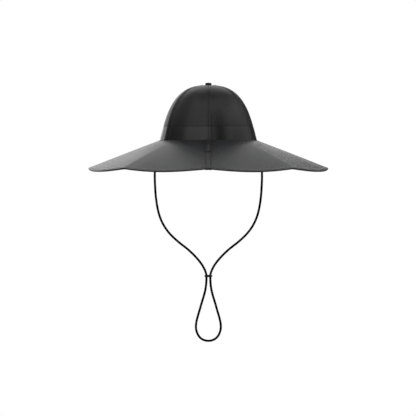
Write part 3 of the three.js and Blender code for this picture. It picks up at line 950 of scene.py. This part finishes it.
# The groups' noises, each with its scale to the metre, detail and roughness, and how the waves are rounded
wander = (260.0,)
slowTone = (14.0, 3.0)
fineTone = (900.0, 2.0, 0.6)
wearAndHighlightNoise = (320.0, 4.0, 0.65)
weaveRounding = 0.6
braidRounding = 0.7


def makeWeaveGroup():
    # A plain weave: threads cross over and under by turns, and their thickness wanders a little.
    group, given, result = newGroup("plainWeave", dict(Map="Vector", Threads="Float", Slub="Float"),
                                    dict(Height="Float"))
    parts = addNode(group, "SeparateXYZ", {0: given["Map"]}).outputs
    drift = calc(group, "SUBTRACT", noise(group, given["Map"], *wander), 0.5)
    drift = calc(group, "MULTIPLY", drift, given["Slub"])
    threads = [calc(group, "MULTIPLY_ADD", parts[axis], given["Threads"], drift) for axis in ("X", "Y")]
    put(group, result["Height"], crossedWaves(group, threads, weaveRounding))
    return group


def makeToneGroup():
    # Slow and fine changes of shade over the cloth, as dye and handling leave them:
    # tone = 1 + broad * (slow noise - 1/2) + fine * (fine noise - 1/2). The blotch is the slow noise alone.
    group, given, result = newGroup("clothTone", dict(Place="Vector", Broad="Float", Fine="Float"),
                                    dict(Tone="Float", Blotch="Float"))
    slow, fine = (calc(group, "SUBTRACT", noise(group, given["Place"], *kind), 0.5)
                  for kind in (slowTone, fineTone))
    tone = calc(group, "MULTIPLY_ADD", slow, given["Broad"], 1.0)
    put(group, result["Tone"], calc(group, "MULTIPLY_ADD", fine, given["Fine"], tone))
    put(group, result["Blotch"], calc(group, "ADD", slow, 0.5, clamp=True))
    return group


def makeWearAndHighlightGroup():
    # Where an edge is worn and where a ridge gets a painted highlight: the mesh's own mask broken up by a
    # fine noise.
    group, given, result = newGroup("wearAndPaintedHighlight", dict(Mask="Float", Place="Vector", Amount="Float"),
                                    dict(WearAndHighlight="Float"))
    lightening = calc(group, "MULTIPLY", given["Mask"], noise(group, given["Place"], *wearAndHighlightNoise))
    put(group, result["WearAndHighlight"], calc(group, "MULTIPLY", lightening, given["Amount"]))
    return group


def makeBraidGroup():
    # A round braid: strands wind round the cord in opposite ways, strands * a + and - pitch * v.
    group, given, result = newGroup("roundBraid", dict(Map="Vector", Strands="Float", Pitch="Float"),
                                    dict(Height="Float"))
    parts = addNode(group, "SeparateXYZ", {0: given["Map"]}).outputs
    around = calc(group, "MULTIPLY", parts["X"], given["Strands"])
    along = calc(group, "MULTIPLY", parts["Y"], given["Pitch"])
    strands = [calc(group, way, around, along) for way in ("ADD", "SUBTRACT")]
    put(group, result["Height"], crossedWaves(group, strands, braidRounding))
    return group


weaveGroup = makeWeaveGroup()
toneGroup = makeToneGroup()
wearAndHighlightGroup = makeWearAndHighlightGroup()
braidGroup = makeBraidGroup()


def useGroup(tree, group, **values):
    return addNode(tree, "Group", values, node_tree=group).outputs


def toneOf(tree, place, look):
    # The tone and the blotch of one look.
    return useGroup(tree, toneGroup, Place=place, Broad=look["broad"], Fine=look["fine"])


def newMaterial(name, look):
    # The shader's even values are set on its own sockets.
    material = bpy.data.materials.new(name)
    material.use_nodes = True
    tree = material.node_tree
    shader = tree.nodes["Principled BSDF"]
    for title, value in look["sockets"].items():
        shader.inputs[title].default_value = value
    return material, tree, shader.inputs, addNode(tree, "TexCoord").outputs["Object"]


def clothMapOf(tree):
    # The piece's own map, in metres along its threads.
    return addNode(tree, "UVMap", uv_map="clothMap").outputs["UV"]


def markOf(tree, name):
    # A value that the mesh holds for each point.
    return addNode(tree, "Attribute", attribute_name=name).outputs["Fac"]


def shade(tree, shader, colour, tone, lightening=0.0, lightened=(0.2, 0.2, 0.2, 1.0)):
    # Base Color = the plain colour times the tone, moved towards the lighter colour where the cloth is worn
    # and where a highlight is painted.
    scaled = addNode(tree, "VectorMath", {0: colour, "Scale": tone}, operation="SCALE").outputs[0]
    mix = addNode(tree, "Mix", {"Factor": lightening, 6: scaled, 7: lightened}, data_type="RGBA")
    put(tree, shader["Base Color"], mix.outputs[2])


def bump(tree, shader, height, distance):
    # Height, from 0 to 1, stands for a distance in metres.
    put(tree, shader["Normal"], addNode(tree, "Bump", dict(Distance=distance, Height=height)).outputs[0])


def clothMaterial(name, look):
    # Woven cloth: the weave gives the bump and a little painted shade in the gaps between threads, the tone
    # the larger changes.
    # Where the cloth is pressed it is rougher, and darker by a painted shade in creases, grooves, edges and
    # where parts meet.
    material, tree, shader, place = newMaterial(name, look)
    weave = useGroup(tree, weaveGroup, Map=clothMapOf(tree), Threads=look["threads"], Slub=look["slub"])
    tone = toneOf(tree, place, look)
    # Painted highlight and wear: lighter where the mesh's mark is high, broken up by noise.
    lightening = useGroup(tree, wearAndHighlightGroup, Mask=markOf(tree, "wearAndHighlight"), Place=place, Amount=look["lightening"])
    pressAndPaintedShade = markOf(tree, "pressAndPaintedShade")
    lowest = 1 - look["weaveGapShade"] * look["meanHeight"]
    weaveGapShade = calc(tree, "MULTIPLY_ADD", weave["Height"], look["weaveGapShade"], lowest)
    # Painted shade: the colour darkens where the mesh's shade mark is high; the same mark makes the cloth
    # rougher.
    paintedShade = calc(tree, "MULTIPLY_ADD", pressAndPaintedShade, -look["paintedShadeStrength"], 1.0)
    tones = calc(tree, "MULTIPLY", calc(tree, "MULTIPLY", tone["Tone"], weaveGapShade), paintedShade)
    shade(tree, shader, look["colour"], tones, lightening["WearAndHighlight"], look["lightened"])
    spread = look["roughSpread"]
    rough = calc(tree, "MULTIPLY_ADD", tone["Blotch"], spread, look["rough"] - spread / 2)
    rough = calc(tree, "MULTIPLY_ADD", pressAndPaintedShade, look["pressedRough"] - look["rough"], rough, clamp=True)
    put(tree, shader["Roughness"], rough)
    bump(tree, shader, weave["Height"], look["relief"])
    return material


def grainMaterial(name, look):
    # Sewing thread or moulded plastic: a fine grain, and roughness that may move with the blotch.
    material, tree, shader, place = newMaterial(name, look)
    tone = toneOf(tree, place, look)
    shade(tree, shader, look["colour"], tone["Tone"])
    if "rough" in look:
        low, rise = look["rough"]
        put(tree, shader["Roughness"], calc(tree, "MULTIPLY_ADD", tone["Blotch"], rise, low))
    bump(tree, shader, noise(tree, place, *look["grain"]), look["relief"])
    return material


def cordMaterial(name, look):
    # Braided cord: its strands' height gives the bump, a painted shade in the gaps between strands and a
    # little of the roughness.
    material, tree, shader, place = newMaterial(name, look)
    braid = useGroup(tree, braidGroup, Map=clothMapOf(tree), Strands=look["strands"], Pitch=look["pitch"])
    braidGapShade, rough = (calc(tree, "MULTIPLY_ADD", braid["Height"], rise, low)
                          for low, rise in (look["braidGapShade"], look["rough"]))
    tone = calc(tree, "MULTIPLY", toneOf(tree, place, look)["Tone"], braidGapShade)
    shade(tree, shader, look["colour"], tone)
    put(tree, shader["Roughness"], rough)
    bump(tree, shader, braid["Height"], look["relief"])
    return material


crownLook = dict(
    colour=(0.018, 0.018, 0.0182),
    # the lighter colour for wear and for painted highlights
    lightened=(0.16, 0.16, 0.165, 1),
    lightening=0.06,
    threads=1900.0,  # to the metre
    slub=0.4,
    broad=0.10,
    fine=0.10,
    weaveGapShade=0.35,
    meanHeight=0.6,  # of the weave, where its painted gap shade leaves the colour as it is
    rough=0.32,
    roughSpread=0.05,
    # how much the painted shade darkens the colour where its mark is full
    paintedShadeStrength=0.7,
    pressedRough=0.9,
    relief=0.00003,
    sockets={"Sheen Weight": 0.1, "Sheen Roughness": 0.4, "Specular IOR Level": 0.5},
)
brimLook = dict(crownLook, colour=(0.0195, 0.0208, 0.0245), rough=0.26, threads=1700.0)
bandLook = dict(
    crownLook,
    colour=(0.020, 0.020, 0.0202),
    lightening=0.0,
    threads=2600.0,
    broad=0.06,
    fine=0.05,
    weaveGapShade=0.15,
    rough=0.21,
    roughSpread=0.04,
    relief=0.00002,
    sockets={"Sheen Weight": 0.05, "Specular IOR Level": 0.55},
)
tapeLook = dict(
    crownLook,
    colour=(0.016, 0.016, 0.0165),
    lightening=0.5,
    threads=1400.0,
    rough=0.28,
    relief=0.00004,
    sockets={"Sheen Weight": 0.1, "Sheen Roughness": 0.5, "Specular IOR Level": 0.5},
)
threadLook = dict(
    colour=(0.035, 0.035, 0.037),
    broad=0.1,
    fine=0.3,
    grain=(6000.0, 1.0),
    relief=0.00003,
    sockets={"Roughness": 0.6, "Sheen Weight": 0.2, "Specular IOR Level": 0.4},
)
cordLook = dict(
    colour=(0.004, 0.004, 0.0042),
    broad=0.15,
    fine=0.2,
    strands=8.0,
    pitch=560.0,
    braidGapShade=(0.5, 0.7),  # painted shade: the colour's share in the gaps, and how much more on the strands
    rough=(0.72, -0.1),
    relief=0.00016,
    sockets={"Specular IOR Level": 0.2},
)
plasticLook = dict(
    colour=(0.022, 0.022, 0.023),
    broad=0.12,
    fine=0.06,
    rough=(0.34, 0.12),  # where the tone is lowest, and how much more where it is highest
    grain=(2500.0, 2.0),
    relief=0.00002,
    sockets={"Specular IOR Level": 0.5},
)


def dress(material, *pieces):
    for piece in pieces:
        piece.data.materials.clear()
        piece.data.materials.append(material)


dress(clothMaterial("charcoalCrownCloth", crownLook), *panels)
dress(clothMaterial("charcoalBrimCloth", brimLook), brimPiece)
dress(clothMaterial("glossyBandCloth", bandLook), bandPiece)
dress(clothMaterial("blackWovenTape", tapeLook), tapePiece, tabPiece, buttonPiece, *anchors)
dress(grainMaterial("blackSewingThread", threadLook), crownStitches, brimStitches, strapStitchPiece)
dress(cordMaterial("blackBraidedCord", cordLook), cord)
dress(grainMaterial("darkMouldedPlastic", plasticLook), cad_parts["cord_slider"])
print("materials made")


# The studio: a white surround for the eye, soft boxes for the light, and a pale floor under the hat.
# The strongest light comes from behind and above, as the photo's bright brim and dark front show.
studio = dict(
    surround=0.05,
    reach=2.5,
    # at each lift in degrees, the step from box to box and the width and height of a box in metres
    rows={8: (20, 0.9, 1.1), 33: (20, 0.75, 1.1), 60: (60, 1.4, 1.2)},
    # lift, turn of the first box from the front towards +X, number of boxes, watts of each
    arcs=[
        (8, -180, 2, 2.93), (8, -140, 1, 0.99), (8, 100, 2, 1.07),
        (33, 160, 2, 1.64), (33, -160, 1, 2.28), (33, -140, 4, 0.64), (33, -60, 3, 1.93),
        (33, 0, 1, 2.56), (33, 20, 1, 0.63), (33, 60, 2, 2.02), (33, 100, 2, 1.75),
        (60, -180, 1, 2.66), (60, -120, 1, 1.15), (60, -60, 3, 3.69), (60, 120, 1, 1.15),
    ],
)
floorLook = dict(
    height=-0.62,
    radius=2.3,
    middle=0.0005,  # the smallest ring, as a share of the radius
    rings=24,
    sides=96,
    colour=(0.7, 0.7, 0.7),
    grain=(40.0, 4.0, 0.06),  # scale, detail and how much it changes the tone
    glow=(0.42, 1.0),  # what the eye sees glowing at the middle and at the rim
    glowStart=0.8,  # metres from the middle
    glowWidth=1.4,
    sockets={"Roughness": 0.9, "Emission Color": (1, 1, 1, 1)},
)


def makeSurround():
    # The eye sees plain white; the hat is lit by a dimmer, even surround.
    world = bpy.data.worlds.new("whiteSurround")
    bpy.context.scene.world = world
    world.use_nodes = True
    tree = world.node_tree
    tree.nodes.clear()
    toEye = addNode(tree, "LightPath").outputs["Is Camera Ray"]
    strength = calc(tree, "MULTIPLY_ADD", toEye, 1.0 - studio["surround"], studio["surround"])
    background = addNode(tree, "Background", dict(Strength=strength, Color=(1, 1, 1, 1)))
    addNode(tree, "OutputWorld", dict(Surface=background.outputs[0]))


def makeSoftBox(turn, lift, width, height, watts):
    # A flat lamp at the studio's reach that faces the hat and that the eye doesn't see.
    a, e = math.radians(turn), math.radians(lift)
    way = Vector((math.sin(a) * math.cos(e), -math.cos(a) * math.cos(e), math.sin(e)))
    lamp = bpy.data.lights.new("softBox", "AREA")
    lamp.shape = "RECTANGLE"
    lamp.size, lamp.size_y = width, height
    lamp.energy = watts
    holder = addObject("softBox", lamp)
    holder.location = way * studio["reach"]
    holder.rotation_euler = (-way).to_track_quat("-Z", "Y").to_euler()
    holder.visible_camera = False


def makeFloorMaterial():
    # Pale and matt; its glow, which only the eye sees, grows to the surround's white at the rim.
    # From below the floor isn't there, so that the hat can be looked at from underneath.
    material, tree, shader, place = newMaterial("paleFloor", floorLook)
    scale, detail, change = floorLook["grain"]
    grain = calc(tree, "MULTIPLY_ADD", noise(tree, place, scale, detail), change, 1 - change / 2)
    shade(tree, shader, floorLook["colour"], grain)
    away = addNode(tree, "VectorMath", {0: place}, operation="LENGTH").outputs["Value"]
    share = calc(tree, "SUBTRACT", away, floorLook["glowStart"])
    share = calc(tree, "DIVIDE", share, floorLook["glowWidth"], clamp=True)
    near, far = floorLook["glow"]
    glow = calc(tree, "MULTIPLY_ADD", share, far - near, near)
    toEye = addNode(tree, "LightPath").outputs["Is Camera Ray"]
    put(tree, shader["Emission Strength"], calc(tree, "MULTIPLY", glow, toEye))
    below = addNode(tree, "NewGeometry").outputs["Backfacing"]
    seen, clear = tree.nodes["Principled BSDF"], addNode(tree, "BsdfTransparent")
    mix = addNode(tree, "MixShader", {0: below, 1: seen.outputs[0], 2: clear.outputs[0]})
    put(tree, tree.nodes["Material Output"].inputs["Surface"], mix.outputs[0])
    return material


def makeFloor():
    # Point = radius * (cos a, sin a) at the floor's height.
    rings, sides = floorLook["rings"], floorLook["sides"]
    radius = floorLook["radius"] * np.linspace(floorLook["middle"], 1, rings)[:, None]
    angle = ringOf(sides)
    points = gridOf(radius * np.cos(angle), radius * np.sin(angle), floorLook["height"])
    quads = gridQuads(rings, sides, closedColumns=True)
    floor = putMesh("paleFloor", points, quads[:, ::-1], [np.arange(sides)])
    dress(makeFloorMaterial(), floor)


makeSurround()
for lift, firstTurn, count, watts in studio["arcs"]:
    step, width, height = studio["rows"][lift]
    for number in range(count):
        makeSoftBox(firstTurn + number * step, lift, width, height, watts)
makeFloor()
bpy.context.scene.view_settings.view_transform = "Standard"
print("studio made")
